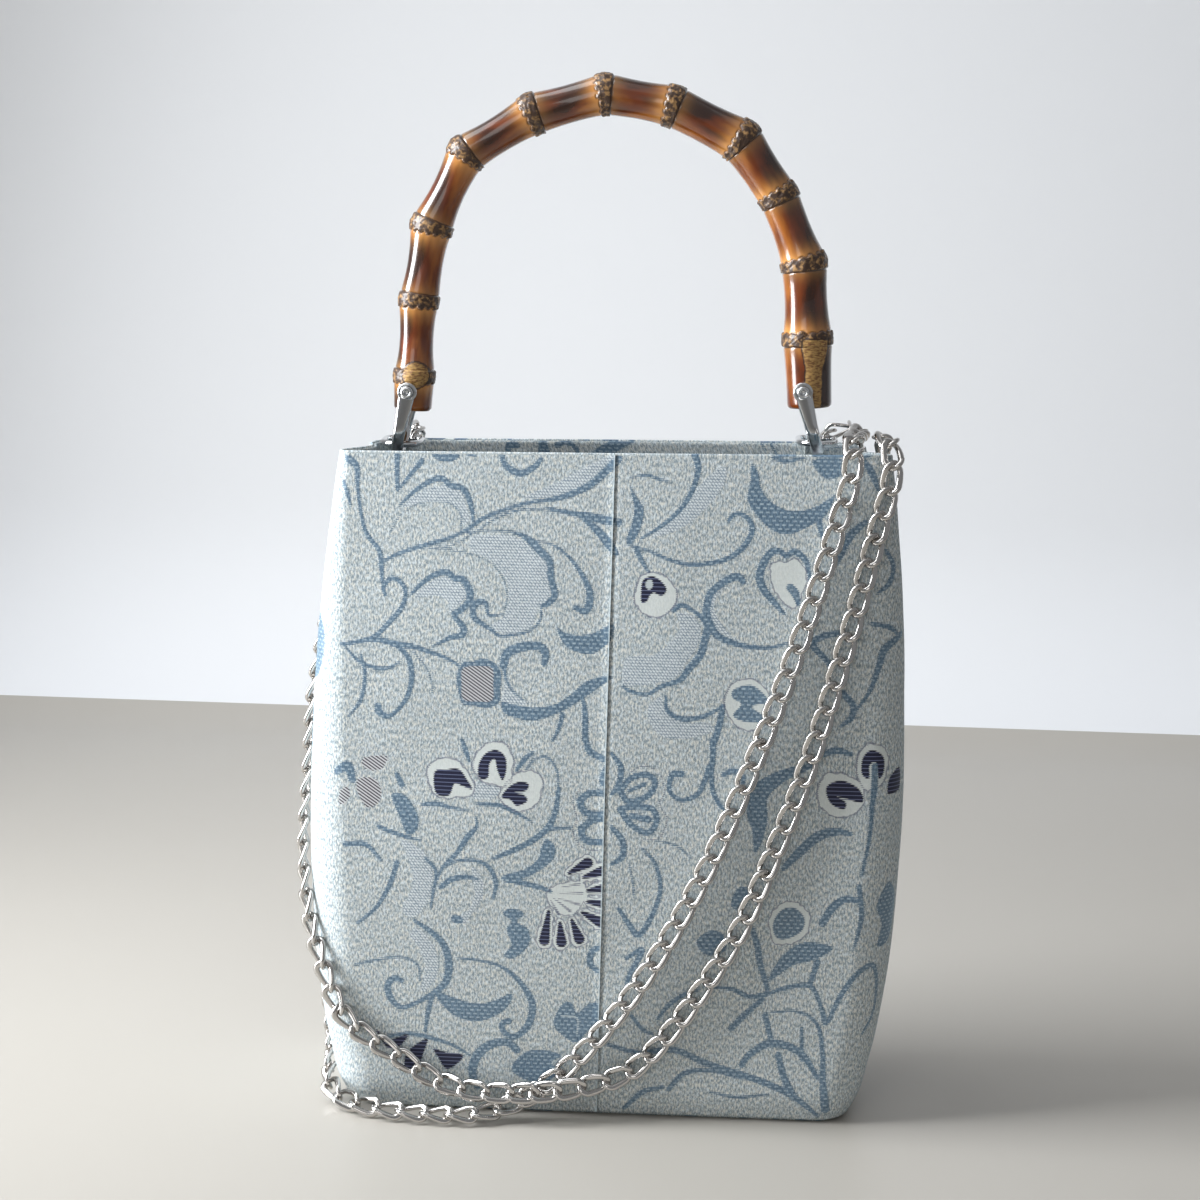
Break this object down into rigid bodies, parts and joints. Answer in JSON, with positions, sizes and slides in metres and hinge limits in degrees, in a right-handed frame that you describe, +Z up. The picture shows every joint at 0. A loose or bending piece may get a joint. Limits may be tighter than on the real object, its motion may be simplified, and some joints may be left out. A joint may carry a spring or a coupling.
{
  "type": "handbag",
  "caption": "Upright open-topped handbag of woven brocade with an arched bamboo handle on shackles and rings, and a curb-chain shoulder strap wrapped round it.",
  "frame": {"origin": "middle of the base's underside, under the front seam", "axes": "+Z up, -Y towards the front panel, +X to the right as seen from the front"},
  "size_m": [0.2347, 0.1003, 0.399],
  "materials": {
    "brocade": "woven brocade, silver-grey ground with blue scrolls",
    "lining": "plain woven cotton",
    "board": "stiff base board",
    "bamboo": "lacquered tortoise-brown bamboo root",
    "chrome": "polished",
    "chain": "polished nickel"
  },
  "bodies": {
    "bag": {"outer_left_half": "brocade", "outer_right_half": "brocade", "base_panel": "brocade", "base_board": "board", "lining": "lining", "mouth_facing": "brocade", "ring_tab_left": "brocade", "ring_tab_right": "brocade", "chain_over_right_corner": "chain", "chain_front_inner_upper": "chain", "chain_front_inner_lower": "chain", "chain_at_front_foot": "chain", "chain_round_left_foot": "chain", "chain_left_rear": "chain", "chain_across_back_low": "chain", "chain_across_back_high": "chain", "chain_over_right_side": "chain", "chain_front_outer_upper": "chain", "chain_front_outer_lower": "chain", "chain_front_foot_outer": "chain", "chain_left_front": "chain", "chain_to_left_ring": "chain"},
    "ring_left": {"ring_left": "chrome"},
    "shackle_left": {"shackle_left": "chrome", "screw_left": "chrome"},
    "handle": {"bamboo_handle": "bamboo"},
    "shackle_right": {"shackle_right": "chrome", "screw_right": "chrome"},
    "ring_right": {"ring_right": "chrome"}
  },
  "joints": [
    {"name": "handle_fold", "type": "hinge", "parent": "bag", "child": "ring_left", "pos_m": [-0.0843, 0.0155, 0.257], "axis": [0.9996, 0, 0.0297], "range_deg": [-75, 50]},
    {"name": "shackle_left_sway", "type": "hinge", "parent": "ring_left", "child": "shackle_left", "pos_m": [-0.0843, 0.00002, 0.25619], "axis": [0, 1, 0], "range_deg": [-10, 10]},
    {"name": "handle_pivot", "type": "hinge", "parent": "shackle_left", "child": "handle", "pos_m": [-0.08038, 0.00002, 0.27733], "axis": [0, 1, 0], "range_deg": [-11, 11]},
    {"name": "shackle_right_pivot", "type": "hinge", "parent": "handle", "child": "shackle_right", "pos_m": [0.07039, 0.00002, 0.2816], "axis": [0, 1, 0], "range_deg": [-11, 11]},
    {"name": "ring_right_pivot", "type": "hinge", "parent": "shackle_right", "child": "ring_right", "pos_m": [0.0765, 0.00002, 0.26099], "axis": [0, 1, 0], "range_deg": [-11, 11]}
  ],
  "couplings": [
    {"joint": "handle_pivot", "follows": "shackle_left_sway", "ratio": -1.067},
    {"joint": "shackle_right_pivot", "follows": "shackle_left_sway", "ratio": 1.0788},
    {"joint": "ring_right_pivot", "follows": "shackle_left_sway", "ratio": -1.0118}
  ]
}
